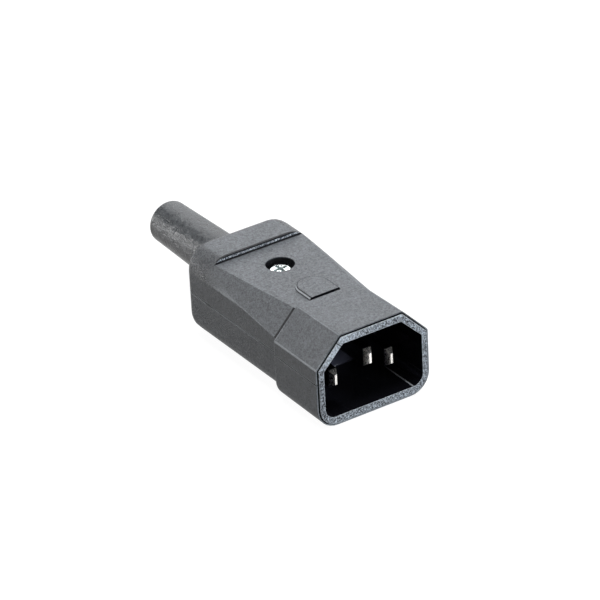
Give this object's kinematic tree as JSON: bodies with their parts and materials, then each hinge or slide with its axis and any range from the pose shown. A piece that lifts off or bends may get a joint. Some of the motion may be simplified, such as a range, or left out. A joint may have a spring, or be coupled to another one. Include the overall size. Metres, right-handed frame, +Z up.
{
  "type": "rewireable c14 in-line power plug",
  "caption": "Rewireable in-line appliance plug with male blades in a bevelled shroud, a two-part screwed housing and a tapered cord boot.",
  "frame": {"origin": "middle of the plug's footprint, on the plane that it rests on", "axes": "+X along the plug and out of the socket's mouth, +Y across it, +Z up through the side with the cover screw"},
  "size_m": [0.079, 0.028, 0.0211],
  "materials": {
    "housing": "charcoal moulded plastic with a fine spark-eroded grain",
    "insert": "black moulded plastic",
    "boot": "soft satin",
    "contact": "nickel plated",
    "screw": "bright zinc"
  },
  "bodies": {
    "root": {"upper_shell": "housing", "lower_shell": "housing", "pin_carrier": "insert", "line_contact": "contact", "neutral_contact": "contact", "earth_contact": "contact", "terminal_screws": "screw", "wire_guards": "contact", "cable_clamp": "insert", "clamp_screws": "screw", "cord_boot": "boot", "cover_screw": "screw", "cover_nut": "screw"}
  },
  "joints": []
}
